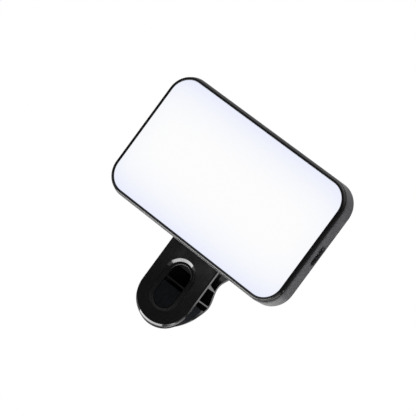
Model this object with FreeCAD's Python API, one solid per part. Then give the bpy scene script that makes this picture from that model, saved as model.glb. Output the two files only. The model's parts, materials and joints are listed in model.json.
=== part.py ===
import FreeCAD, Part

import math
import os

from FreeCAD import Vector

# Clip-on fill light: a flat lit head that swivels on a spring clip.
# Lengths are in millimetres. The origin is at the middle of the closed jaws.
# X runs along the light's long side towards the charging port, Y from the
# lit face to the back, and Z up from the clip's tip to the light.

# Light head, outside
light_length = 96.1
light_height = 57.8
light_thickness = 10.4
light_corner_radius = 10.3
light_centre_z = 53.2
rim_width = 1.9

# Rear housing
housing_front_depth = 1.5
housing_front_round = 1.2
housing_back_round = 1.5
housing_wall = 1.4
housing_back_wall = 1.4
ledge_width = 1.2
housing_lip = 0.4

# Front bezel
bezel_gap = 0.1
bezel_lip_thickness = 1.0
bezel_skirt_depth = 3.0
bezel_skirt_wall = 0.55
bezel_outer_round = 0.9
bezel_inner_round = 0.3

# Diffuser
diffuser_recess = 0.3
diffuser_thickness = 1.5
diffuser_flange_thickness = 0.7
diffuser_edge_gap = 0.05
diffuser_skirt_gap = 0.1

# Lamp board, its lamps and the white frame round them
led_board_back_depth = 5.4
led_board_thickness = 1.0
led_board_gap = 0.1
led_columns = 10
led_rows = 6
led_inset_x = 11.6
led_inset_z = 10.4
led_length = 3.5
led_width = 2.8
led_height = 0.8
reflector_width = 2.4
reflector_gap = 0.05
reflector_post_gap = 0.2

# Case screws and the posts that they enter
post_inset = 7.4
post_radius = 2.2
post_clearance = 0.4
gusset_width = 2.4
gusset_thickness = 1.0
screw_shank_radius = 0.9
screw_head_radius = 1.8
screw_length = 6.0
screw_clearance = 0.2
screw_drive_radius = 0.7
screw_drive_depth = 0.6

# Battery and its leads
battery_length = 50.0
battery_height = 34.0
battery_thickness = 3.3
battery_round = 1.2
battery_corner_radius = 2.4
battery_centre_x = -8.0
lead_radius = 0.5
lead_spacing = 1.5

# Control board and charging port
control_board_length = 18.0
control_board_height = 30.0
control_board_thickness = 0.8
board_wall_gap = 0.4
pocket_clearance = 0.5
port_length = 8.94
port_height = 3.26
port_depth = 7.3
port_wall = 0.3
port_recess = 0.4
port_clearance = 0.22
tongue_length = 6.7
tongue_thickness = 0.7
tongue_reach = 5.2
tongue_chamfer = 0.17
component_inset = 4.5
component_spacing = 9.0
chip_size = 4.0
chip_height = 0.9
coil_radius = 2.4
coil_height = 2.0
coil_round = 0.5
connector_length = 4.2
connector_width = 3.0
connector_height = 1.8

# Buttons, their switches and the indicator
button_length = 8.0
button_height = 3.0
button_stand_out = 0.5
button_travel = 0.4
button_offset_z = 9.0
button_clearance = 0.1
button_flange = 0.5
button_flange_thickness = 0.6
switch_size = 2.6
switch_thickness = 1.4
switch_free_gap = 0.1
switch_board_thickness = 0.8
switch_board_length = 27.0
button_round = 0.35
switch_stem_radius = 0.65
switch_stem_height = 0.6
indicator_radius = 0.8

# Swivel between light and clip
swivel_gap = 3.8
swivel_boss_radius = 8.0
friction_washer_thickness = 0.5
spigot_radius = 3.2
spigot_clearance = 0.05
swivel_washer_radius = 5.4
swivel_washer_thickness = 0.6
swivel_screw_radius = 1.3
swivel_screw_head_radius = 3.0
swivel_screw_head_height = 1.7
swivel_screw_head_round = 1.0
swivel_screw_reach = 6.2
swivel_socket_radius = 1.25
swivel_socket_depth = 1.0

# Clip, front arm
plate_thickness = 2.0
plate_half_width = 13.0
plate_tip_centre_z = 2.6
plate_straight_top_z = 27.0
plate_front_round = 0.45
plate_back_round = 0.2
eye_radius = 9.6
recess_half_width = 7.6
recess_top_z = 19.7
recess_bottom_z = -3.6
recess_depth = 0.9
recess_flank_run = 1.3
tip_bevel_height = 1.35
tip_bevel_depth = 0.52
tip_edge_height = 0.6
tip_edge_depth = 0.7
tip_bevel_centre_rise = 2.2
window_half_width = 5.0
window_top_z = 17.2
window_bottom_z = -2.6
window_edge_round = 0.35
bar_z = 9.5
bar_height = 0.65
bar_setback = 0.15
bar_root = 0.5
plug_top_z = 7.5

# Hinge
hinge_y = 2.1
hinge_z = 19.8
ear_radius = 2.6
ear_thickness = 2.0
ear_gap = 0.25
front_ear_x = 5.0
pin_radius = 1.2
pin_clearance = 0.05
pin_head_radius = 1.9
pin_head_thickness = 0.8
pin_head_round = 0.5

# Clip, rear arm
rear_half_width = 12.45
rear_tip_centre_z = 2.9
rear_wall = 2.0
rear_top_z = 47.0
rear_top_corner = 8.0
rear_edge_round = 1.2
rib_gap = 0.3
rib_slope = 0.06
rib_front_z = 9.25
rib_front_height = 0.6
rib_back_height = 0.6
rib_back_y = 11.4
claw_front_z = 16.45
claw_front_height = 1.7
claw_back_height = 0.3
claw_back_y = 8.1
handle_ridges = 4
handle_ridge_first = 3.5
handle_ridge_pitch = 3.0
handle_ridge_radius = 0.6
handle_ridge_half_width = 7.0
rear_jaw_top_y = 7.4
rear_jaw_tip_y = 0.65

# Jaw pads
pad_gap = 0.1
front_pad_thickness = 1.0
front_pad_side_inset = 0.1
front_pad_tip_drop = 0.35
pad_top_z = 6.9
rear_pad_top_fall = 0.7
rear_pad_corner_round = 1.2
pad_plug_clearance = 0.15
pad_plug_setback = 0.15
pad_groove_pitch = 2.4
pad_groove_depth = 0.35
pad_grooves = 5

# Torsion spring
wire_radius = 0.5
coil_turns = 6
coil_pitch = 1.1
coil_mean_radius = 2.3
spring_front_leg = 11.0
spring_back_leg = 11.0
spring_leg_lean = 27.0

# How far a cutter runs past what it cuts, and how closely two places must agree
overcut = 1.0
tolerance = 1e-3

# Places worked out from the sizes above
plate_back_y = -(pad_gap / 2 + front_pad_thickness)
plate_front_y = plate_back_y - plate_thickness
light_back_y = plate_front_y - swivel_gap
light_front_y = light_back_y - light_thickness
half_length = light_length / 2
half_height = light_height / 2
inner_back_depth = light_thickness - housing_back_wall
led_board_front_depth = led_board_back_depth - led_board_thickness
port_centre_depth = inner_back_depth - control_board_thickness - port_height / 2
rear_grip_y = pad_gap / 2
plate_tip_z = plate_tip_centre_z - plate_half_width
rear_seat_top_z = pad_top_z - rear_pad_top_fall
wall_inner_x = -half_length + housing_wall
button_depth = (led_board_back_depth + inner_back_depth) / 2
button_flange_x = wall_inner_x + button_flange_thickness
switch_front_x = button_flange_x + button_travel + switch_free_gap
switch_board_x = switch_front_x + switch_thickness
button_places = {
    "power_button": light_centre_z + button_offset_z,
    "mode_button": light_centre_z - button_offset_z,
}
control_board_x1 = half_length - housing_wall - board_wall_gap
control_board_x0 = control_board_x1 - control_board_length
control_board_front = light_front_y + inner_back_depth - control_board_thickness
component_x = control_board_x0 + component_inset
coil_z = light_centre_z + component_spacing
connector_z = light_centre_z - component_spacing

# The rear arm's back line, from the handle's end down to the jaw's tip
rear_outer_line = [
    (21.4, 47.0),
    (20.6, 39.0),
    (17.6, 30.0),
    (12.4, 22.2),
    (8.6, 17.9),
    (10.5, 13.3),
    (12.5, 8.2),
    (10.0, 3.6),
    (5.2, -2.4),
    (1.9, -10.0),
]


# Shape helpers

def at_depth(depth):
    """The Y of a plane that lies this far behind the light's front."""
    return light_front_y + depth


def xz(x, z, y=0.0):
    return Vector(x, y, z)


def prism_y(wire, y0, y1):
    """A solid with a flat outline drawn at y = 0, from y0 to y1."""
    face = Part.Face(wire)
    face.translate(Vector(0, y0, 0))
    return face.extrude(Vector(0, y1 - y0, 0))


def rounded_rectangle(half_x, half_z, radius, centre_x=0.0, centre_z=0.0):
    """A rounded rectangle's wire in the plane y = 0."""
    side_x = half_x - radius
    side_z = half_z - radius
    diagonal = radius * math.sqrt(0.5)
    edges = []
    corners = [(1, 1), (-1, 1), (-1, -1), (1, -1)]
    for index, (sx, sz) in enumerate(corners):
        cx = centre_x + sx * side_x
        cz = centre_z + sz * side_z
        on_side = xz(cx + sx * radius, cz)
        on_end = xz(cx, cz + sz * radius)
        middle = xz(cx + sx * diagonal, cz + sz * diagonal)
        first, last = (on_side, on_end) if sx * sz > 0 else (on_end, on_side)
        edges.append(Part.Arc(first, middle, last).toShape())
        nx, nz = corners[(index + 1) % 4]
        next_x = centre_x + nx * side_x
        next_z = centre_z + nz * side_z
        if nx * nz > 0:
            following = xz(next_x + nx * radius, next_z)
        else:
            following = xz(next_x, next_z + nz * radius)
        if (following - last).Length > tolerance:
            edges.append(Part.LineSegment(last, following).toShape())
    return Part.Wire(edges)


def upright_slot(half_width, z_low, z_high):
    """A slot's wire with round ends, upright in the plane y = 0."""
    middle_z = (z_low + z_high) / 2
    return rounded_rectangle(half_width, (z_high - z_low) / 2, half_width, 0, middle_z)


def cylinder_y(radius, y0, y1, x, z):
    return Part.makeCylinder(radius, y1 - y0, Vector(x, y0, z), Vector(0, 1, 0))


def cylinder_x(radius, x0, x1, y, z):
    return Part.makeCylinder(radius, x1 - x0, Vector(x0, y, z), Vector(1, 0, 0))


def block(x0, x1, y0, y1, z0, z1):
    return Part.makeBox(x1 - x0, y1 - y0, z1 - z0, Vector(x0, y0, z0))


def head_slab(inset, depth0, depth1):
    """A slab with the light's outline drawn in by inset, between two depths."""
    radius = light_corner_radius - inset
    wire = rounded_rectangle(half_length - inset, half_height - inset, radius, 0, light_centre_z)
    return prism_y(wire, at_depth(depth0), at_depth(depth1))


def edges_at_y(shape, y):
    """The edges that lie wholly in one plane across Y."""
    found = []
    for edge in shape.Edges:
        box = edge.BoundBox
        if abs(box.YMin - y) < tolerance and abs(box.YMax - y) < tolerance:
            found.append(edge)
    return found


def corner_places(inset):
    """The X and Z of the light's four corners, each moved in by the same inset."""
    return [
        (side_x * (half_length - inset), light_centre_z + side_z * (half_height - inset))
        for side_x in (-1, 1)
        for side_z in (-1, 1)
    ]


def extrude_x(wire, half_width):
    """A solid with an outline drawn in the YZ plane, as wide each way from x = 0."""
    face = Part.Face(wire)
    face.translate(Vector(-half_width, 0, 0))
    return face.extrude(Vector(2 * half_width, 0, 0))


def polygon_yz(points):
    corners = [Vector(0, y, z) for y, z in points]
    return Part.makePolygon(corners + corners[:1])


# Light head

def make_diffuser():
    field_inset = rim_width + diffuser_edge_gap
    flange_inset = housing_lip + bezel_gap + bezel_skirt_wall + diffuser_skirt_gap
    back = diffuser_recess + diffuser_thickness
    field = head_slab(field_inset, diffuser_recess, back)
    flange = head_slab(flange_inset, back - diffuser_flange_thickness, back)
    return field.fuse(flange).removeSplitter()


def post_and_gusset(x, z, grow, start, end):
    """A screw post and the rib that ties it to the bezel's corner."""
    post = cylinder_y(post_radius + grow, at_depth(start), at_depth(end), x, z)
    side_x = math.copysign(1, x)
    side_z = math.copysign(1, z - light_centre_z)
    arc_x = side_x * (half_length - light_corner_radius)
    arc_z = light_centre_z + side_z * (half_height - light_corner_radius)
    reach = light_corner_radius - housing_lip - bezel_gap - bezel_skirt_wall / 2
    half = gusset_width / 2 + grow
    gusset = block(0, reach, at_depth(start), at_depth(start + gusset_thickness + grow), -half, half)
    angle = math.degrees(math.atan2(side_z, side_x))
    gusset.rotate(Vector(0, 0, 0), Vector(0, -1, 0), angle)
    gusset.translate(Vector(arc_x, 0, arc_z))
    return post.fuse(gusset)


def make_bezel():
    outer_inset = housing_lip + bezel_gap
    skirt_inner = outer_inset + bezel_skirt_wall
    blank = head_slab(outer_inset, 0, bezel_skirt_depth)
    blank = blank.makeFillet(bezel_outer_round, edges_at_y(blank, at_depth(0)))
    window = head_slab(rim_width, -overcut, bezel_lip_thickness + overcut)
    below = head_slab(skirt_inner, bezel_lip_thickness, bezel_skirt_depth + overcut)
    ring = blank.cut(window)
    opening = window.BoundBox
    opening.enlarge(tolerance)
    inner_edges = [
        edge for edge in edges_at_y(ring, at_depth(0)) if opening.isInside(edge.BoundBox)
    ]
    ring = ring.makeFillet(bezel_inner_round, inner_edges).cut(below)
    start = diffuser_recess + diffuser_thickness + reflector_gap
    for x, z in corner_places(post_inset):
        support = post_and_gusset(x, z, 0, start, inner_back_depth)
        ring = ring.fuse(support)
        tip = at_depth(light_thickness - screw_length)
        pilot = cylinder_y(screw_shank_radius, tip, at_depth(light_thickness), x, z)
        ring = ring.cut(pilot)
    return ring.removeSplitter()


def port_outline(grow):
    """The charging port's rounded outline, upright on the light's short side."""
    half_z = port_length / 2 + grow
    half_y = port_height / 2 + grow
    return rounded_rectangle(half_y, half_z, half_y)


def port_prism(grow, x0, x1):
    """The port's outline as a solid along X."""
    solid = prism_y(port_outline(grow), 0, x1 - x0)
    solid.rotate(Vector(0, 0, 0), Vector(0, 0, 1), -90)
    solid.translate(Vector(x0, at_depth(port_centre_depth), light_centre_z))
    return solid


def button_prism(grow, x0, x1, z):
    """A button's rounded outline as a solid along X."""
    half_y = button_height / 2 + grow
    half_z = button_length / 2 + grow
    solid = prism_y(rounded_rectangle(half_y, half_z, half_y), 0, x1 - x0)
    solid.rotate(Vector(0, 0, 0), Vector(0, 0, 1), -90)
    solid.translate(Vector(x0, at_depth(button_depth), z))
    return solid


def make_housing():
    blank = head_slab(0, housing_front_depth, light_thickness)
    blank = blank.makeFillet(housing_front_round, edges_at_y(blank, at_depth(housing_front_depth)))
    blank = blank.makeFillet(housing_back_round, edges_at_y(blank, light_back_y))
    tray = blank.cut(head_slab(housing_lip, 0, bezel_skirt_depth))
    tray = tray.cut(head_slab(housing_wall, 0, led_board_back_depth))
    tray = tray.cut(head_slab(housing_wall + ledge_width, 0, inner_back_depth))
    # Room in the ledge for the buttons' flanges, the switch board and the control board
    ledge_front_y = at_depth(led_board_back_depth) - led_board_gap
    back_wall_y = at_depth(inner_back_depth)
    pocket_x = switch_board_x + switch_board_thickness + pocket_clearance
    flange_half = button_length / 2 + button_flange + pocket_clearance
    rooms = [(wall_inner_x, pocket_x, light_centre_z, switch_board_length / 2 + pocket_clearance)]
    for z in button_places.values():
        rooms.append((wall_inner_x, pocket_x, z, flange_half))
    port_inner_x = half_length - housing_wall
    rooms.append((
        port_inner_x - ledge_width - pocket_clearance, port_inner_x, light_centre_z,
        control_board_height / 2 + pocket_clearance))
    for x0, x1, z, half in rooms:
        tray = tray.cut(block(x0, x1, ledge_front_y, back_wall_y, z - half, z + half))
    tray = tray.cut(port_prism(port_clearance, port_inner_x - overcut, half_length + overcut))
    for z in button_places.values():
        tray = tray.cut(button_prism(
            button_clearance, -half_length - overcut, wall_inner_x + overcut, z))
    tray = tray.cut(cylinder_x(
        indicator_radius, -half_length - overcut, wall_inner_x + overcut, at_depth(button_depth),
        light_centre_z))
    for x, z in corner_places(post_inset):
        tray = tray.cut(case_screw(x, z, screw_clearance))
    # Swivel boss, its spigot and the screw's blind hole
    boss_back = plate_front_y - friction_washer_thickness
    boss = cylinder_y(swivel_boss_radius, light_back_y, boss_back, 0, light_centre_z)
    tray = tray.fuse(boss)
    spigot = cylinder_y(spigot_radius, boss_back, plate_back_y, 0, light_centre_z)
    tray = tray.fuse(spigot)
    blind = cylinder_y(
        swivel_screw_radius, plate_back_y - swivel_screw_reach, plate_back_y, 0, light_centre_z)
    return tray.cut(blind).removeSplitter()


def case_screw(x, z, clearance=0.0):
    """A countersunk screw whose head is level with the housing's back."""
    shank = screw_shank_radius + clearance
    head = screw_head_radius + clearance
    head_depth = head - shank
    tip = light_back_y - screw_length
    body = cylinder_y(shank, tip, light_back_y, x, z)
    cone = Part.makeCone(
        shank, head, head_depth, Vector(x, light_back_y - head_depth, z), Vector(0, 1, 0))
    return body.fuse(cone)


def hex_socket(radius, y0, y1, x, z):
    corners = [
        Vector(x + radius * math.cos(math.radians(60 * k)), y0,
               z + radius * math.sin(math.radians(60 * k)))
        for k in range(6)
    ]
    face = Part.Face(Part.makePolygon(corners + corners[:1]))
    return face.extrude(Vector(0, y1 - y0, 0))


def make_case_screws():
    screws = []
    for x, z in corner_places(post_inset):
        screw = case_screw(x, z)
        socket = hex_socket(
            screw_drive_radius, light_back_y - screw_drive_depth, light_back_y + overcut, x, z)
        screws.append(screw.cut(socket))
    return Part.makeCompound(screws)


def make_led_board():
    board = head_slab(housing_wall + led_board_gap, led_board_front_depth, led_board_back_depth)
    for x, z in corner_places(post_inset):
        board = board.cut(cylinder_y(
            post_radius + post_clearance, at_depth(0), at_depth(light_thickness), x, z))
    notch_x = half_length - port_recess - port_depth - post_clearance
    notch_half = port_length / 2 + post_clearance
    notch = block(
        notch_x, half_length, at_depth(0), at_depth(light_thickness),
        light_centre_z - notch_half, light_centre_z + notch_half)
    return board.cut(notch)


def make_leds():
    lamps = []
    field_x = half_length - led_inset_x
    field_z = half_height - led_inset_z
    for column in range(led_columns):
        for row in range(led_rows):
            x = field_x * (2 * column / (led_columns - 1) - 1)
            z = light_centre_z + field_z * (2 * row / (led_rows - 1) - 1)
            lamps.append(block(
                x - led_length / 2, x + led_length / 2,
                at_depth(led_board_front_depth - led_height), at_depth(led_board_front_depth),
                z - led_width / 2, z + led_width / 2))
    return Part.makeCompound(lamps)


def make_reflector():
    front = diffuser_recess + diffuser_thickness + reflector_gap
    outer = housing_wall + led_board_gap
    frame = head_slab(outer, front, led_board_front_depth)
    frame = frame.cut(head_slab(
        outer + reflector_width, front - overcut, led_board_front_depth + overcut))
    for x, z in corner_places(post_inset):
        room = post_and_gusset(x, z, reflector_post_gap, front, light_thickness)
        frame = frame.cut(room)
    return frame


def make_battery():
    half_x = battery_length / 2
    half_z = battery_height / 2
    wire = rounded_rectangle(
        half_x, half_z, battery_corner_radius, battery_centre_x, light_centre_z)
    front = at_depth(inner_back_depth - battery_thickness)
    cell = prism_y(wire, front, at_depth(inner_back_depth))
    return cell.makeFillet(battery_round, edges_at_y(cell, front))


def make_control_board():
    return block(
        control_board_x0, control_board_x1, control_board_front, at_depth(inner_back_depth),
        light_centre_z - control_board_height / 2, light_centre_z + control_board_height / 2)


def make_board_components():
    """The charging chip, the coil and the battery's connector."""
    chip = block(
        component_x - chip_size / 2, component_x + chip_size / 2,
        control_board_front - chip_height, control_board_front,
        light_centre_z - chip_size / 2, light_centre_z + chip_size / 2)
    coil_front = control_board_front - coil_height
    coil = cylinder_y(coil_radius, coil_front, control_board_front, component_x, coil_z)
    coil = coil.makeFillet(coil_round, edges_at_y(coil, coil_front))
    connector = block(
        component_x - connector_width / 2, component_x + connector_width / 2,
        control_board_front - connector_height, control_board_front,
        connector_z - connector_length / 2, connector_z + connector_length / 2)
    return Part.makeCompound([chip, coil, connector])


def make_battery_leads():
    """Two straight wires from the cell's end to the connector on the control board."""
    start_x = battery_centre_x + battery_length / 2
    end_x = component_x - connector_width / 2
    y = control_board_front - connector_height / 2
    return Part.makeCompound([
        cylinder_x(lead_radius, start_x, end_x, y, connector_z + side * lead_spacing / 2)
        for side in (-1, 1)
    ])


def make_usb_receptacle():
    mouth_x = half_length - port_recess
    shell = port_prism(0, mouth_x - port_depth, mouth_x)
    hollow = port_prism(-port_wall, mouth_x - port_depth + port_wall, mouth_x + overcut)
    return shell.cut(hollow)


def make_usb_tongue():
    inner_x = half_length - port_recess - port_depth + port_wall
    y = at_depth(port_centre_depth)
    tongue = block(
        inner_x, inner_x + tongue_reach, y - tongue_thickness / 2, y + tongue_thickness / 2,
        light_centre_z - tongue_length / 2, light_centre_z + tongue_length / 2)
    end_edges = [
        edge for edge in tongue.Edges
        if edge.BoundBox.XMin > inner_x + tongue_reach - tolerance
        and edge.BoundBox.ZLength > tongue_thickness
    ]
    return tongue.makeChamfer(tongue_chamfer, end_edges)


def make_button(z):
    """A push button: a rounded cap with a flange that keeps it in the wall."""
    outer_x = -half_length - button_stand_out
    cap = button_prism(0, outer_x, button_flange_x, z)
    rim = [
        edge for edge in cap.Edges
        if abs(edge.BoundBox.XMin - outer_x) < tolerance
        and abs(edge.BoundBox.XMax - outer_x) < tolerance
    ]
    cap = cap.makeFillet(button_round, rim)
    flange = block(
        wall_inner_x, button_flange_x,
        at_depth(button_depth) - button_height / 2, at_depth(button_depth) + button_height / 2,
        z - button_length / 2 - button_flange, z + button_length / 2 + button_flange)
    return cap.fuse(flange).removeSplitter()


def make_switch_board():
    return block(
        switch_board_x, switch_board_x + switch_board_thickness,
        at_depth(led_board_back_depth), at_depth(inner_back_depth),
        light_centre_z - switch_board_length / 2, light_centre_z + switch_board_length / 2)


def make_button_switches():
    switches = []
    y = at_depth(button_depth)
    for z in button_places.values():
        base_x = switch_front_x + switch_stem_height
        base = block(
            base_x, switch_board_x, y - switch_size / 2, y + switch_size / 2,
            z - switch_size / 2, z + switch_size / 2)
        stem = cylinder_x(switch_stem_radius, switch_front_x, base_x, y, z)
        switches.append(base.fuse(stem))
    return Part.makeCompound(switches)


def make_indicator():
    """A light pipe from the switch board to a small round window in the wall."""
    return cylinder_x(
        indicator_radius, -half_length, switch_board_x, at_depth(button_depth), light_centre_z)


# Swivel

def ring_y(outer, inner, y0, y1):
    ring = cylinder_y(outer, y0, y1, 0, light_centre_z)
    return ring.cut(cylinder_y(inner, y0 - overcut, y1 + overcut, 0, light_centre_z))


def make_friction_washer():
    return ring_y(
        swivel_boss_radius, spigot_radius + spigot_clearance,
        plate_front_y - friction_washer_thickness, plate_front_y)


def make_swivel_washer():
    return ring_y(
        swivel_washer_radius, swivel_screw_radius,
        plate_back_y, plate_back_y + swivel_washer_thickness)


def make_swivel_screw():
    head_y = plate_back_y + swivel_washer_thickness
    top_y = head_y + swivel_screw_head_height
    shank = cylinder_y(
        swivel_screw_radius, plate_back_y - swivel_screw_reach, head_y, 0, light_centre_z)
    head = cylinder_y(swivel_screw_head_radius, head_y, top_y, 0, light_centre_z)
    head = head.makeFillet(swivel_screw_head_round, edges_at_y(head, top_y))
    socket = hex_socket(
        swivel_socket_radius, top_y - swivel_socket_depth, top_y + overcut, 0, light_centre_z)
    return shank.fuse(head).cut(socket)


# Clip, front arm

def tongue_outline(half_width, tip_centre_z, top_z):
    """The clip's tongue: a round tip, straight sides and a taper to the swivel eye."""
    reach_z = light_centre_z - top_z
    distance = math.hypot(half_width, reach_z)
    touch_angle = math.atan2(-reach_z, half_width) + math.acos(eye_radius / distance)
    touch_x = eye_radius * math.cos(touch_angle)
    touch_z = light_centre_z + eye_radius * math.sin(touch_angle)
    tip = Part.Arc(
        xz(-half_width, tip_centre_z), xz(0, tip_centre_z - half_width), xz(half_width, tip_centre_z))
    eye = Part.Arc(
        xz(touch_x, touch_z), xz(0, light_centre_z + eye_radius), xz(-touch_x, touch_z))
    return Part.Wire([
        tip.toShape(),
        Part.LineSegment(xz(half_width, tip_centre_z), xz(half_width, top_z)).toShape(),
        Part.LineSegment(xz(half_width, top_z), xz(touch_x, touch_z)).toShape(),
        eye.toShape(),
        Part.LineSegment(xz(-touch_x, touch_z), xz(-half_width, top_z)).toShape(),
        Part.LineSegment(xz(-half_width, top_z), xz(-half_width, tip_centre_z)).toShape(),
    ])


def floor_y(z):
    """The recess's floor slopes: it meets the plate's face at the foot and is deepest at the top."""
    return plate_front_y + recess_depth * (z - recess_bottom_z) / (recess_top_z - recess_bottom_z)


def behind_floor(setback):
    """A large block behind the recess's floor."""
    far = light_centre_z
    outline = polygon_yz([
        (floor_y(-far) + setback, -far),
        (floor_y(far) + setback, far),
        (far, far),
        (far, -far),
    ])
    return extrude_x(outline, plate_half_width)


def recess_cutter():
    """The recess's space: its flanks slope inwards, and its floor slopes up to the foot."""
    sections = []
    for share in (-1, 1):
        run = share * recess_flank_run
        wire = upright_slot(recess_half_width - run, recess_bottom_z + run, recess_top_z - run)
        wire.translate(Vector(0, plate_front_y + share * recess_depth, 0))
        sections.append(wire)
    return Part.makeLoft(sections, True, True).cut(behind_floor(0))


def tip_bevel_cutter():
    """A bevel in two slopes that is deepest at the plate's tip and dies out along its round end."""
    centre_z = plate_tip_centre_z + tip_bevel_centre_rise
    tip_radius = centre_z - plate_tip_z
    face_radius = tip_radius - tip_bevel_height
    edge_radius = tip_radius - tip_edge_height
    backwards = Vector(0, 1, 0)
    start = Vector(0, plate_front_y, centre_z)
    edge_start = Vector(0, plate_front_y + tip_bevel_depth, centre_z)
    bevel = Part.makeCone(face_radius, edge_radius, tip_bevel_depth, start, backwards)
    edge = Part.makeCone(edge_radius, tip_radius, tip_edge_depth, edge_start, backwards)
    below = block(
        -plate_half_width, plate_half_width, plate_front_y,
        plate_front_y + tip_bevel_depth + tip_edge_depth, plate_tip_z, plate_tip_centre_z)
    return below.cut([bevel, edge])


def window_rim(plate, window):
    """The edges where the window opens in the recess's floor."""
    rim = []
    for edge in plate.Edges:
        points = edge.discretize(5)
        on_floor = all(abs(point.y - floor_y(point.z)) < tolerance for point in points)
        if on_floor and all(window.isInside(point, tolerance, True) for point in points):
            rim.append(edge)
    return rim


def ear(x0, x1, root_y, root_half):
    """A round ear on the hinge's axis with a root that spreads to a wall."""
    disc = cylinder_x(ear_radius, x0, x1, hinge_y, hinge_z)
    root_y0 = min(root_y, hinge_y)
    root_y1 = max(root_y, hinge_y)
    root = block(x0, x1, root_y0, root_y1, hinge_z - root_half, hinge_z + root_half)
    return disc.fuse(root)


def make_front_arm():
    outline = tongue_outline(plate_half_width, plate_tip_centre_z, plate_straight_top_z)
    plate = prism_y(outline, plate_front_y, plate_back_y)
    plate = plate.makeFillet(plate_front_round, edges_at_y(plate, plate_front_y))
    plate = plate.makeFillet(plate_back_round, edges_at_y(plate, plate_back_y))
    plate = plate.cut([tip_bevel_cutter(), recess_cutter()])
    window = prism_y(
        upright_slot(window_half_width, window_bottom_z, window_top_z),
        plate_front_y - overcut, plate_back_y + overcut)
    plate = plate.cut(window)
    plate = plate.makeFillet(window_edge_round, window_rim(plate, window))
    bar = block(
        -window_half_width - bar_root, window_half_width + bar_root, plate_front_y, plate_back_y,
        bar_z - bar_height / 2, bar_z + bar_height / 2)
    plate = plate.fuse(bar.common(behind_floor(bar_setback)))
    for side in (-1, 1):
        x0, x1 = sorted((side * front_ear_x, side * (front_ear_x + ear_thickness)))
        plate = plate.fuse(ear(x0, x1, plate_back_y, ear_radius))
    bore = cylinder_x(
        pin_radius + pin_clearance, -plate_half_width, plate_half_width, hinge_y, hinge_z)
    plate = plate.cut(bore)
    eye_bore = cylinder_y(
        spigot_radius + spigot_clearance, plate_front_y - overcut, plate_back_y + overcut,
        0, light_centre_z)
    return plate.cut(eye_bore).removeSplitter()


# Clip, rear arm

def rear_curves():
    """The rear arm's back line and its inner line, one wall's thickness in front of it."""
    outer_points = [Vector(0, y, z) for y, z in rear_outer_line]
    outer = Part.BSplineCurve()
    outer.interpolate(outer_points)
    inner_points = []
    for point in outer_points:
        tangent = outer.tangent(outer.parameter(point))[0]
        inner_points.append(point + Vector(0, tangent.z, -tangent.y) * rear_wall)
    inner = Part.BSplineCurve()
    inner.interpolate(inner_points)
    return outer, inner


def in_front_of(curve):
    """A solid of all the space in front of one of the rear arm's curves."""
    top = curve.value(curve.FirstParameter)
    tip = curve.value(curve.LastParameter)
    far_y = -rear_half_width
    far_tip = Vector(0, far_y, tip.z)
    far_top = Vector(0, far_y, top.z)
    return extrude_x(Part.Wire([
        curve.toShape(),
        Part.LineSegment(tip, far_tip).toShape(),
        Part.LineSegment(far_tip, far_top).toShape(),
        Part.LineSegment(far_top, top).toShape(),
    ]), rear_half_width)


def edges_round_curve_face(shape, curve):
    """The edges round the face that was drawn out from a curve."""
    middle = curve.value((curve.FirstParameter + curve.LastParameter) / 2)
    probe = Part.Vertex(middle)
    face = min(shape.Faces, key=lambda each: each.distToShape(probe)[0])
    return face.Edges


def rear_outline_prism(half_width, tip_centre_z):
    """The rear arm seen from behind: a round tip and a handle with round corners."""
    corner = rear_top_corner
    side_z = rear_top_z - corner
    tip = Part.Arc(
        xz(-half_width, tip_centre_z), xz(0, tip_centre_z - half_width), xz(half_width, tip_centre_z))
    diagonal = corner * math.sqrt(0.5)
    corner_x = half_width - corner
    right = Part.Arc(
        xz(half_width, side_z), xz(corner_x + diagonal, side_z + diagonal), xz(corner_x, rear_top_z))
    left = Part.Arc(
        xz(-corner_x, rear_top_z), xz(-corner_x - diagonal, side_z + diagonal),
        xz(-half_width, side_z))
    wire = Part.Wire([
        tip.toShape(),
        Part.LineSegment(xz(half_width, tip_centre_z), xz(half_width, side_z)).toShape(),
        right.toShape(),
        Part.LineSegment(xz(corner_x, rear_top_z), xz(-corner_x, rear_top_z)).toShape(),
        left.toShape(),
        Part.LineSegment(xz(-half_width, side_z), xz(-half_width, tip_centre_z)).toShape(),
    ])
    return prism_y(wire, -rear_top_z, rear_top_z)


def cross_rib(front_z, front_height, back_y, back_height):
    """A rib that reaches forward almost to the front arm's plate and falls to the back."""
    front_y = plate_back_y + rib_gap
    base_front_z = front_z - front_height / 2
    base_back_z = base_front_z - rib_slope * (back_y - front_y)
    return extrude_x(polygon_yz([
        (front_y, base_front_z),
        (front_y, base_front_z + front_height),
        (back_y, base_back_z + back_height),
        (back_y, base_back_z),
    ]), rear_half_width)


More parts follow.
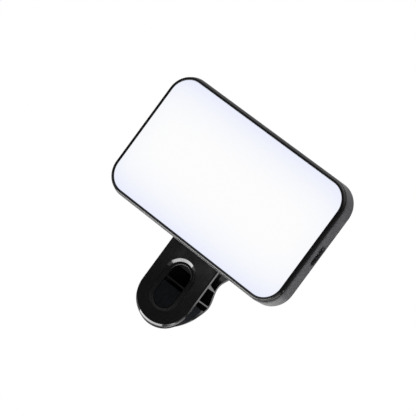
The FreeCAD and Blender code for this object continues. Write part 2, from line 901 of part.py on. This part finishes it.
def make_rear_arm():
    outer, inner = rear_curves()
    inside = in_front_of(outer)
    hollow = in_front_of(inner)
    wide = plate_half_width
    # Above the jaw the lever is a curved wall, and below it the pad's slanting seat cuts it off
    above_jaw = block(-wide, wide, -wide, rear_top_z, rear_seat_top_z, rear_top_z)
    before_seat = extrude_x(polygon_yz([
        (rear_jaw_top_y, rear_seat_top_z),
        (rear_jaw_tip_y, plate_tip_z),
        (-rear_top_z, plate_tip_z),
        (-rear_top_z, rear_seat_top_z),
    ]), wide)
    arm = inside.cut(hollow.common(above_jaw)).cut(before_seat)
    arm = arm.common(rear_outline_prism(rear_half_width, rear_tip_centre_z))
    arm = arm.makeFillet(rear_edge_round, edges_round_curve_face(arm, outer))
    for rib in (
            cross_rib(rib_front_z, rib_front_height, rib_back_y, rib_back_height),
            cross_rib(claw_front_z, claw_front_height, claw_back_y, claw_back_height)):
        arm = arm.fuse(rib.common(hollow))
    arm = arm.cut(cylinder_x(ear_radius + rib_gap, -wide, wide, hinge_y, hinge_z))
    room = ear_radius + rib_gap
    ear_x = front_ear_x + ear_thickness + ear_gap
    for side in (-1, 1):
        x0, x1 = sorted((side * (front_ear_x - ear_gap), side * ear_x))
        arm = arm.cut(block(x0, x1, plate_back_y, hinge_y, hinge_z - room, hinge_z + room))
        x0, x1 = sorted((side * ear_x, side * (ear_x + ear_thickness)))
        arm = arm.fuse(ear(x0, x1, rear_top_z, ear_radius).common(hollow))
    arm = arm.cut(cylinder_x(pin_radius, -wide, wide, hinge_y, hinge_z))
    for index in range(handle_ridges):
        ridge_z = rear_top_z - handle_ridge_first - index * handle_ridge_pitch
        arm = arm.fuse(handle_ridge(outer, ridge_z))
    return arm.removeSplitter()


def handle_ridge(outer, z):
    """A half-round grip bar across the handle's back."""
    level = Part.LineSegment(Vector(0, 0, z), Vector(0, rear_top_z, z))
    place = outer.intersectCC(level)[0]
    return cylinder_x(
        handle_ridge_radius, -handle_ridge_half_width, handle_ridge_half_width, place.Y, place.Z)


# Pads

def pad_blank(y0, y1, half_width, tip_centre_z, tip_inset):
    """A pad's outline: straight sides, a flat top and the clip's round tip."""
    radius = half_width - tip_inset
    tip = Part.Arc(
        xz(-radius, tip_centre_z), xz(0, tip_centre_z - radius), xz(radius, tip_centre_z))
    wire = Part.Wire([
        tip.toShape(),
        Part.LineSegment(xz(radius, tip_centre_z), xz(radius, pad_top_z)).toShape(),
        Part.LineSegment(xz(radius, pad_top_z), xz(-radius, pad_top_z)).toShape(),
        Part.LineSegment(xz(-radius, pad_top_z), xz(-radius, tip_centre_z)).toShape(),
    ])
    return prism_y(wire, y0, y1)


def cut_grooves(pad, face_y, side):
    """Shallow grooves across a pad's gripping face."""
    for index in range(pad_grooves):
        z = pad_top_z - (index + 1) * pad_groove_pitch
        groove = polygon_yz([
            (face_y + side * pad_groove_depth, z),
            (face_y - side * pad_gap, z - pad_groove_depth),
            (face_y - side * pad_gap, z + pad_groove_depth),
        ])
        pad = pad.cut(extrude_x(groove, plate_half_width * 2))
    return pad


def make_front_pad():
    face_y = -pad_gap / 2
    pad = pad_blank(
        plate_back_y, face_y, plate_half_width, plate_tip_centre_z - front_pad_tip_drop,
        front_pad_side_inset)
    plug = prism_y(
        upright_slot(
            window_half_width - pad_plug_clearance, window_bottom_z + pad_plug_clearance,
            window_top_z),
        plate_front_y, plate_back_y)
    below_bar = block(
        -plate_half_width, plate_half_width, plate_front_y, plate_back_y, plate_tip_z, plug_top_z)
    plug = plug.common(below_bar).common(behind_floor(pad_plug_setback))
    pad = pad.fuse(plug).removeSplitter()
    return cut_grooves(pad, face_y, -1)


def make_rear_pad():
    """A wedge between the grip plane and the rear arm's slanting seat."""
    outline = polygon_yz([
        (rear_grip_y, pad_top_z),
        (rear_jaw_top_y, rear_seat_top_z),
        (rear_jaw_tip_y, plate_tip_z),
        (rear_grip_y, plate_tip_z),
    ])
    wedge = extrude_x(outline, rear_half_width)
    upper_back = [
        edge for edge in wedge.Edges
        if edge.BoundBox.YMin > rear_jaw_top_y - tolerance
    ]
    wedge = wedge.makeFillet(rear_pad_corner_round, upper_back)
    blank = pad_blank(0, rear_jaw_top_y, rear_half_width, rear_tip_centre_z, 0)
    return cut_grooves(wedge.common(blank), rear_grip_y, 1)


# Hinge pin and spring

def make_hinge_pin():
    end_x = front_ear_x + 2 * ear_thickness + ear_gap
    pin = cylinder_x(pin_radius, -end_x, end_x, hinge_y, hinge_z)
    head = cylinder_x(pin_head_radius, end_x, end_x + pin_head_thickness, hinge_y, hinge_z)
    rim = [
        edge for edge in head.Edges
        if edge.BoundBox.XMin > end_x + pin_head_thickness - tolerance
    ]
    head = head.makeFillet(pin_head_round, rim)
    return pin.fuse(head).removeSplitter()


def make_spring():
    """A wound coil on the pin, with one leg on the front arm and one on the handle."""
    turns = coil_turns + (180 - spring_leg_lean) / 360
    height = turns * coil_pitch
    helix = Part.makeHelix(coil_pitch, height, coil_mean_radius)
    start = Vector(coil_mean_radius, 0, 0)
    profile = Part.Wire(Part.makeCircle(wire_radius, start, Vector(0, 1, 0)))
    coil = Part.Wire(helix).makePipeShell([profile], True, True)
    end_angle = 2 * math.pi * turns
    end = Vector(
        coil_mean_radius * math.cos(end_angle), coil_mean_radius * math.sin(end_angle), height)
    end_way = Vector(-math.sin(end_angle), math.cos(end_angle), 0)
    front_leg = Part.makeCylinder(wire_radius, spring_front_leg, start, Vector(0, -1, 0))
    back_leg = Part.makeCylinder(wire_radius, spring_back_leg, end, end_way)
    spring = coil.fuse([front_leg, back_leg])
    # Stand the coil's axis along X, with the first leg rising along the front arm
    spring.rotate(Vector(0, 0, 0), Vector(0, 0, 1), 180)
    spring.rotate(Vector(0, 0, 0), Vector(1, 1, 1), 120)
    spring.translate(Vector(-height / 2, hinge_y, hinge_z))
    return spring


pieces = {
    "front_bezel": make_bezel(),
    "diffuser": make_diffuser(),
    "rear_housing": make_housing(),
    "reflector_frame": make_reflector(),
    "led_board": make_led_board(),
    "leds": make_leds(),
    "battery": make_battery(),
    "battery_leads": make_battery_leads(),
    "control_board": make_control_board(),
    "board_components": make_board_components(),
    "usb_receptacle": make_usb_receptacle(),
    "usb_tongue": make_usb_tongue(),
    "power_button": make_button(button_places["power_button"]),
    "mode_button": make_button(button_places["mode_button"]),
    "switch_board": make_switch_board(),
    "button_switches": make_button_switches(),
    "charge_indicator": make_indicator(),
    "case_screws": make_case_screws(),
    "friction_washer": make_friction_washer(),
    "swivel_washer": make_swivel_washer(),
    "swivel_screw": make_swivel_screw(),
    "clip_front_arm": make_front_arm(),
    "front_jaw_pad": make_front_pad(),
    "clip_rear_arm": make_rear_arm(),
    "rear_jaw_pad": make_rear_pad(),
    "hinge_pin": make_hinge_pin(),
    "torsion_spring": make_spring(),
}

os.makedirs("parts", exist_ok=True)
for name, shape in pieces.items():
    print(name, "solids", len(shape.Solids), "valid", shape.isValid(), "volume", round(shape.Volume, 2))
    shape.exportStep("parts/" + name + ".step")
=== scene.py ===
"""A clip-on fill light in a plain white studio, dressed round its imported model."""

import json
import math

import bpy
from mathutils import Matrix, Vector


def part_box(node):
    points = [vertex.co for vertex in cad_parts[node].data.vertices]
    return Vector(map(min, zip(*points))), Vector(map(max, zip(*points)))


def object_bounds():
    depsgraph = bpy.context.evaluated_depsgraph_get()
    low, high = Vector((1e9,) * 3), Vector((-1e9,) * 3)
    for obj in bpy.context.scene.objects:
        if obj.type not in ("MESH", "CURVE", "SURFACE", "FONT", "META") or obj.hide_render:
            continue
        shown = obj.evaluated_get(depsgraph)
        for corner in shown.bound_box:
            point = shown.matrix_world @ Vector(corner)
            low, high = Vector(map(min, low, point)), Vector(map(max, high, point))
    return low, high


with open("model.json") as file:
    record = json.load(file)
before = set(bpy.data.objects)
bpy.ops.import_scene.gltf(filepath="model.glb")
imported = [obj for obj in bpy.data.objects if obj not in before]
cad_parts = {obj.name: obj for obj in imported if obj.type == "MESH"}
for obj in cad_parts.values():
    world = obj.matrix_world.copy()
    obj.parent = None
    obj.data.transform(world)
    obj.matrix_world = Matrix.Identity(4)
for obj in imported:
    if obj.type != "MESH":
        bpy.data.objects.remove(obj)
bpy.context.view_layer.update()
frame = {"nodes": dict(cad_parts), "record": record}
bpy.context.scene.view_settings.view_transform = "Standard"

# The photograph's camera
IMAGE_PIXELS = 416
FOCAL_PIXELS = 2445
SENSOR_MM = 36.0
CAMERA_AZIMUTH = math.radians(27.17)
CAMERA_ELEVATION = math.radians(2.434)
CAMERA_ROLL = math.radians(36.33)
CAMERA_DISTANCE = 0.9792
CAMERA_AIM = Vector((-0.00055, -0.01695, 0.04215))
CAMERA_REACH = 50

# The studio
FLOOR_DROP = 0.25
FLOOR_RADIUS = 1.2
FLOOR_CORNERS = 96
FLOOR_SHADE = 0.86
FLOOR_GLOW = 0.66
LAMP_TARGET = Vector((0.0, 0.0, 0.02))
STRIP_Z = -0.25
ROOM_LEVEL = 0.45
ROOM_DIM = 0.10
BACKDROP_CORE = math.radians(8)
BACKDROP_EDGE = math.radians(24)
CEILING_CORE = math.radians(60)
CEILING_EDGE = math.radians(15)
OPAL_GLOW = 0.92
CREASE_ANGLE = math.radians(25)


def aim_matrix(place, target, roll=0.0):
    """A matrix for something at place that looks along -Z at target, turned by roll."""
    back = (place - target).normalized()
    right = Vector((0, 0, 1)).cross(back).normalized()
    up = back.cross(right)
    turned_right = right * math.cos(roll) + up * math.sin(roll)
    turned_up = up * math.cos(roll) - right * math.sin(roll)
    columns = Matrix((turned_right, turned_up, back)).transposed()
    return Matrix.Translation(place) @ columns.to_4x4()


def make_camera():
    data = bpy.data.cameras.new("camera")
    data.sensor_width = SENSOR_MM
    data.lens = SENSOR_MM * FOCAL_PIXELS / IMAGE_PIXELS
    data.clip_end = CAMERA_REACH
    camera = bpy.data.objects.new("camera", data)
    bpy.context.scene.collection.objects.link(camera)
    away = Vector((
        math.sin(CAMERA_AZIMUTH) * math.cos(CAMERA_ELEVATION),
        -math.cos(CAMERA_AZIMUTH) * math.cos(CAMERA_ELEVATION),
        math.sin(CAMERA_ELEVATION),
    ))
    place = CAMERA_AIM + away * CAMERA_DISTANCE
    camera.matrix_world = aim_matrix(place, CAMERA_AIM, CAMERA_ROLL)
    bpy.context.scene.camera = camera


# Materials

class Finish:
    """A node material that is built up step by step round one Principled shader."""

    def __init__(self, name):
        self.material = bpy.data.materials.new(name)
        self.material.use_nodes = True
        self.nodes = self.material.node_tree.nodes
        self.links = self.material.node_tree.links
        self.shader = self.nodes["Principled BSDF"]
        self.place = self.nodes.new("ShaderNodeTexCoord").outputs["Object"]

    def set(self, **values):
        for key, value in values.items():
            self.shader.inputs[key.replace("_", " ")].default_value = value
        return self

    def stretched(self, scale):
        """The object's coordinates, scaled by a different amount along each axis."""
        mapping = self.nodes.new("ShaderNodeMapping")
        mapping.inputs["Scale"].default_value = scale
        self.links.new(self.place, mapping.inputs["Vector"])
        return mapping.outputs["Vector"]

    def noise(self, scale, detail=3.0, roughness=0.55, vector=None):
        node = self.nodes.new("ShaderNodeTexNoise")
        node.inputs["Scale"].default_value = scale
        node.inputs["Detail"].default_value = detail
        node.inputs["Roughness"].default_value = roughness
        self.links.new(vector or self.place, node.inputs["Vector"])
        return node.outputs["Fac"]

    def cells(self, scale):
        node = self.nodes.new("ShaderNodeTexVoronoi")
        node.inputs["Scale"].default_value = scale
        self.links.new(self.place, node.inputs["Vector"])
        return node.outputs["Distance"]

    def ramp(self, source, low, high, start=0.35, end=0.65):
        node = self.nodes.new("ShaderNodeValToRGB")
        node.color_ramp.elements[0].position = start
        node.color_ramp.elements[0].color = (*low, 1)
        node.color_ramp.elements[1].position = end
        node.color_ramp.elements[1].color = (*high, 1)
        self.links.new(source, node.inputs["Fac"])
        return node.outputs["Color"]

    def spread(self, source, low, high, start=0.35, end=0.65):
        node = self.nodes.new("ShaderNodeMapRange")
        node.inputs["From Min"].default_value = start
        node.inputs["From Max"].default_value = end
        node.inputs["To Min"].default_value = low
        node.inputs["To Max"].default_value = high
        self.links.new(source, node.inputs["Value"])
        return node.outputs["Result"]

    def maths(self, operation, first, second):
        """A math node whose inputs are outputs of other nodes or plain numbers."""
        node = self.nodes.new("ShaderNodeMath")
        node.operation = operation
        for socket, value in zip(node.inputs, (first, second)):
            if isinstance(value, (int, float)):
                socket.default_value = value
            else:
                self.links.new(value, socket)
        return node.outputs["Value"]

    def edge_share(self, axis, low, high, power, share):
        """0 in the middle between two places on an axis, rising to share at both."""
        parts = self.nodes.new("ShaderNodeSeparateXYZ")
        self.links.new(self.place, parts.inputs["Vector"])
        shift = self.maths("SUBTRACT", parts.outputs[axis], (low + high) / 2)
        distance = self.maths("ABSOLUTE", shift, 0)
        ratio = self.maths("DIVIDE", distance, (high - low) / 2)
        return self.maths("MULTIPLY", self.maths("POWER", ratio, power), share)

    def colour(self, low, high, scale, detail=3.0):
        mottle = self.ramp(self.noise(scale, detail), low, high)
        self.links.new(mottle, self.shader.inputs["Base Color"])
        return self

    def sheen_of(self, low, high, scale):
        """Roughness that wanders between two values."""
        self.links.new(
            self.spread(self.noise(scale, 4.0), low, high), self.shader.inputs["Roughness"])
        return self

    def bump(self, source, depth, strength=1.0):
        """Relief of a real depth in metres, over any relief set before it."""
        node = self.nodes.new("ShaderNodeBump")
        node.inputs["Strength"].default_value = strength
        node.inputs["Distance"].default_value = depth
        self.links.new(source, node.inputs["Height"])
        if self.shader.inputs["Normal"].is_linked:
            self.links.new(self.shader.inputs["Normal"].links[0].from_socket, node.inputs["Normal"])
        self.links.new(node.outputs["Normal"], self.shader.inputs["Normal"])
        return self


def gloss_black():
    """Polished black plastic with the slight waviness of a moulded face."""
    finish = Finish("gloss_black").set(Specular_IOR_Level=0.35)
    finish.colour((0.006, 0.006, 0.0065), (0.009, 0.009, 0.0095), 90)
    finish.sheen_of(0.08, 0.13, 240)
    finish.bump(finish.noise(120, 2.0), 0.00004, 0.5)
    return finish.bump(finish.noise(6000, 2.0), 0.000002, 0.5).material


def satin_black():
    """Fine spark-eroded black plastic."""
    finish = Finish("satin_black").set(Specular_IOR_Level=0.5)
    finish.colour((0.064, 0.064, 0.069), (0.078, 0.078, 0.084), 300)
    finish.sheen_of(0.36, 0.44, 500)
    finish.bump(finish.noise(9000, 3.0, 0.7), 0.0000015, 0.5)
    return finish.bump(finish.cells(5200), 0.000001, 0.4).material


def silicone():
    """Matt grey-black silicone with a dusty bloom."""
    finish = Finish("silicone").set(Specular_IOR_Level=0.04)
    finish.colour((0.0040, 0.0045, 0.0060), (0.0065, 0.0075, 0.0100), 420)
    finish.sheen_of(0.55, 0.72, 700)
    return finish.bump(finish.noise(8000, 3.0), 0.000012, 0.6).material


def opal():
    """The lit diffuser: even white, a little dimmer and bluer at its long edges, less at its ends."""
    finish = Finish("opal").set(Roughness=0.42, Specular_IOR_Level=0.2)
    lo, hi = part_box("diffuser")
    along = finish.edge_share("X", lo.x, hi.x, 8.0, 0.25)
    across = finish.edge_share("Z", lo.z, hi.z, 3.0, 1.0)
    reach = finish.maths("ADD", along, across)
    glow = finish.ramp(reach, (1.0, 1.0, 1.0), (0.82, 0.85, 1.0), 0.0, 1.0)
    finish.links.new(glow, finish.shader.inputs["Emission Color"])
    finish.set(Emission_Strength=OPAL_GLOW)
    finish.colour((0.10, 0.102, 0.105), (0.12, 0.121, 0.124), 900)
    return finish.bump(finish.noise(7000, 2.0), 0.000006, 0.5).material


def steel():
    """Plated steel, drawn along its length."""
    finish = Finish("steel").set(Metallic=1.0)
    streaks = finish.noise(300, 3.0, 0.6, finish.stretched((1, 12, 12)))
    finish.links.new(
        finish.ramp(streaks, (0.42, 0.43, 0.45), (0.62, 0.62, 0.63)),
        finish.shader.inputs["Base Color"])
    finish.sheen_of(0.22, 0.34, 900)
    return finish.bump(streaks, 0.000004, 0.5).material


def plain_plastic(name, low, high, rough):
    """A moulded plastic in one tone with fine grain."""
    finish = Finish(name)
    finish.colour(low, high, 350)
    finish.sheen_of(rough, rough + 0.12, 500)
    return finish.bump(finish.noise(6000, 2.0), 0.000008, 0.5).material


def board(name, low, high):
    """Solder mask over copper, with faint tracks under it."""
    finish = Finish(name)
    tracks = finish.noise(700, 1.0, 0.3, finish.stretched((1, 1, 6)))
    finish.links.new(
        finish.ramp(tracks, low, high, 0.46, 0.54), finish.shader.inputs["Base Color"])
    finish.sheen_of(0.22, 0.34, 600)
    return finish.bump(tracks, 0.00003, 0.5).material


def foil():
    """The cell's crinkled foil pouch."""
    finish = Finish("cell_foil").set(Metallic=0.9)
    finish.colour((0.55, 0.56, 0.58), (0.72, 0.73, 0.75), 200)
    finish.sheen_of(0.25, 0.42, 300)
    return finish.bump(finish.noise(350, 4.0), 0.0002, 0.5).material


def paint(node, material):
    target = frame["nodes"][node]
    target.data.materials.clear()
    target.data.materials.append(material)


def paint_nodes():
    shared = {
        "gloss_black": gloss_black(),
        "satin_black": satin_black(),
        "opal": opal(),
        "silicone": silicone(),
        "steel": steel(),
        "cell": foil(),
        "white_plastic": plain_plastic("white_plastic", (0.72, 0.72, 0.70), (0.80, 0.80, 0.78), 0.45),
        "parts_black": plain_plastic("parts_black", (0.010, 0.010, 0.011), (0.02, 0.02, 0.021), 0.38),
        "wire_skin": plain_plastic("wire_skin", (0.40, 0.01, 0.01), (0.5, 0.02, 0.02), 0.35),
        "clear_plastic": plain_plastic("clear_plastic", (0.70, 0.72, 0.74), (0.8, 0.82, 0.83), 0.12),
        "lamp": plain_plastic("lamp", (0.80, 0.68, 0.25), (0.9, 0.8, 0.35), 0.25),
        "board": board("white_board", (0.74, 0.75, 0.73), (0.82, 0.83, 0.81)),
        "green_board": board("green_board", (0.005, 0.09, 0.03), (0.01, 0.15, 0.05)),
    }
    for entry in frame["record"]["subparts"]:
        paint(entry["node"], shared[entry["material_slot"]])


# Studio

def seen_by_eye(nodes, links, seen):
    """1 for camera, glossy and transmission rays, and 0 for the rest."""
    first = nodes.new("ShaderNodeMath")
    first.operation = "MAXIMUM"
    links.new(seen.outputs["Is Camera Ray"], first.inputs[0])
    links.new(seen.outputs["Is Glossy Ray"], first.inputs[1])
    second = nodes.new("ShaderNodeMath")
    second.operation = "MAXIMUM"
    links.new(first.outputs["Value"], second.inputs[0])
    links.new(seen.outputs["Is Transmission Ray"], second.inputs[1])
    return second.outputs["Value"]


def make_floor():
    """A plain white floor under the object, which keeps its shadow."""
    lo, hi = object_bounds()
    bpy.ops.mesh.primitive_circle_add(
        vertices=FLOOR_CORNERS, radius=FLOOR_RADIUS, fill_type="NGON",
        location=(0, 0, lo.z - FLOOR_DROP))
    floor = bpy.context.object
    floor.name = "floor"
    material = bpy.data.materials.new("floor_white")
    material.use_nodes = True
    nodes = material.node_tree.nodes
    links = material.node_tree.links
    nodes.clear()
    matt = nodes.new("ShaderNodeBsdfDiffuse")
    matt.inputs["Color"].default_value = (FLOOR_SHADE, FLOOR_SHADE, FLOOR_SHADE, 1)
    glow = nodes.new("ShaderNodeEmission")
    glow.inputs["Color"].default_value = (1, 1, 1, 1)
    glow.inputs["Strength"].default_value = FLOOR_GLOW
    seen = nodes.new("ShaderNodeLightPath")
    nothing = nodes.new("ShaderNodeEmission")
    nothing.inputs["Strength"].default_value = 0.0
    choice = nodes.new("ShaderNodeMixShader")
    total = nodes.new("ShaderNodeAddShader")
    output = nodes.new("ShaderNodeOutputMaterial")
    links.new(seen_by_eye(nodes, links, seen), choice.inputs["Fac"])
    links.new(nothing.outputs["Emission"], choice.inputs[1])
    links.new(glow.outputs["Emission"], choice.inputs[2])
    links.new(matt.outputs["BSDF"], total.inputs[0])
    links.new(choice.outputs["Shader"], total.inputs[1])
    links.new(total.outputs["Shader"], output.inputs["Surface"])
    floor.data.materials.append(material)


def room_seen_in_gloss(nodes, links):
    """The room's brightness by direction: a white backdrop and ceiling, and dim elsewhere."""
    direction = nodes.new("ShaderNodeTexCoord").outputs["Generated"]
    facing = nodes.new("ShaderNodeVectorMath")
    facing.operation = "DOT_PRODUCT"
    facing.inputs[1].default_value = (-math.sin(CAMERA_AZIMUTH), math.cos(CAMERA_AZIMUTH), 0)
    links.new(direction, facing.inputs[0])
    height = nodes.new("ShaderNodeSeparateXYZ")
    links.new(direction, height.inputs["Vector"])
    brightest = nodes.new("ShaderNodeMath")
    brightest.operation = "MAXIMUM"
    stretches = (
        (facing.outputs["Value"], math.cos(BACKDROP_EDGE), math.cos(BACKDROP_CORE)),
        (height.outputs["Z"], math.sin(CEILING_EDGE), math.sin(CEILING_CORE)),
    )
    for socket, (source, edge, core) in zip(brightest.inputs, stretches):
        fade = nodes.new("ShaderNodeMapRange")
        fade.interpolation_type = "SMOOTHSTEP"
        fade.inputs["From Min"].default_value = edge
        fade.inputs["From Max"].default_value = core
        fade.inputs["To Min"].default_value = ROOM_DIM
        fade.inputs["To Max"].default_value = 1.0
        links.new(source, fade.inputs["Value"])
        links.new(fade.outputs["Result"], socket)
    return brightest.outputs["Value"]


def add_background(nodes, strength):
    background = nodes.new("ShaderNodeBackground")
    background.inputs["Color"].default_value = (1, 1, 1, 1)
    background.inputs["Strength"].default_value = strength
    return background


def make_world():
    """White to the eye and through clear parts, graded in gloss, and plain light on matt parts."""
    world = bpy.data.worlds.new("studio")
    bpy.context.scene.world = world
    world.use_nodes = True
    nodes = world.node_tree.nodes
    links = world.node_tree.links
    seen = nodes.new("ShaderNodeLightPath")
    level = add_background(nodes, ROOM_LEVEL)
    graded = add_background(nodes, 1.0)
    links.new(room_seen_in_gloss(nodes, links), graded.inputs["Strength"])
    white = add_background(nodes, 1.0)
    for ray, background in (
            ("Is Glossy Ray", graded), ("Is Transmission Ray", white), ("Is Camera Ray", white)):
        choice = nodes.new("ShaderNodeMixShader")
        links.new(seen.outputs[ray], choice.inputs["Fac"])
        links.new(level.outputs[0], choice.inputs[1])
        links.new(background.outputs[0], choice.inputs[2])
        level = choice
    links.new(level.outputs[0], nodes["World Output"].inputs["Surface"])


def soft_box(name, direction, distance, width, height, radiance):
    """A soft lamp that faces the object from a direction, as bright as its radiance."""
    data = bpy.data.lights.new(name, "AREA")
    data.shape = "RECTANGLE"
    data.size = width
    data.size_y = height
    data.energy = radiance * math.pi * width * height
    lamp = bpy.data.objects.new(name, data)
    bpy.context.scene.collection.objects.link(lamp)
    place = LAMP_TARGET + Vector(direction).normalized() * distance
    lamp.matrix_world = aim_matrix(place, LAMP_TARGET)
    lamp.visible_camera = False
    return lamp


def soft_strip(name, start, end, breadth, back, radiance):
    """A long soft lamp between two places, shining away from its back and seen in gloss alone."""
    start = Vector(start)
    end = Vector(end)
    along = (end - start).normalized()
    back = Vector(back)
    back = (back - along * back.dot(along)).normalized()
    data = bpy.data.lights.new(name, "AREA")
    data.shape = "ELLIPSE"
    data.size = (end - start).length
    data.size_y = breadth
    data.energy = radiance * math.pi * data.size * data.size_y * math.pi / 4
    lamp = bpy.data.objects.new(name, data)
    bpy.context.scene.collection.objects.link(lamp)
    columns = Matrix((along, back.cross(along), back)).transposed()
    lamp.matrix_world = Matrix.Translation((start + end) / 2) @ columns.to_4x4()
    lamp.visible_camera = False
    lamp.visible_diffuse = False


def make_lights():
    key = soft_box(
        "key", direction=(0.80, 0.55, 0.10), distance=0.70, width=0.45, height=0.50, radiance=4.6)
    key.visible_glossy = False
    soft_box(
        "top", direction=(-0.1, 0.35, 0.95), distance=0.90, width=0.50, height=0.50, radiance=1.4)
    soft_strip(
        "under_left", start=(0.01, -0.135, STRIP_Z), end=(-0.245, -0.035, STRIP_Z),
        breadth=0.11, back=(0, 0, -1), radiance=14.0)
    soft_strip(
        "under_right", start=(0.27, -0.32, STRIP_Z), end=(-0.02, -0.145, STRIP_Z),
        breadth=0.07, back=(0, 0, -1), radiance=17.0)
    soft_strip(
        "rim", start=(0.276, 0.536, -0.04), end=(0.276, 0.536, 0.0),
        breadth=0.14, back=(0.4, 0.9, 0), radiance=1.9)
    soft_strip(
        "front", start=(-0.378, -0.706, -0.027), end=(-0.1375, -0.827, -0.027),
        breadth=0.03, back=(-0.45, -0.89, 0), radiance=0.9)


def smooth_nodes():
    """Rounded faces shade smoothly, and real corners stay crisp."""
    for node in frame["nodes"].values():
        for polygon in node.data.polygons:
            polygon.use_smooth = True
        node.data.set_sharp_from_angle(angle=CREASE_ANGLE)


make_camera()
make_world()
make_lights()
make_floor()
smooth_nodes()
paint_nodes()
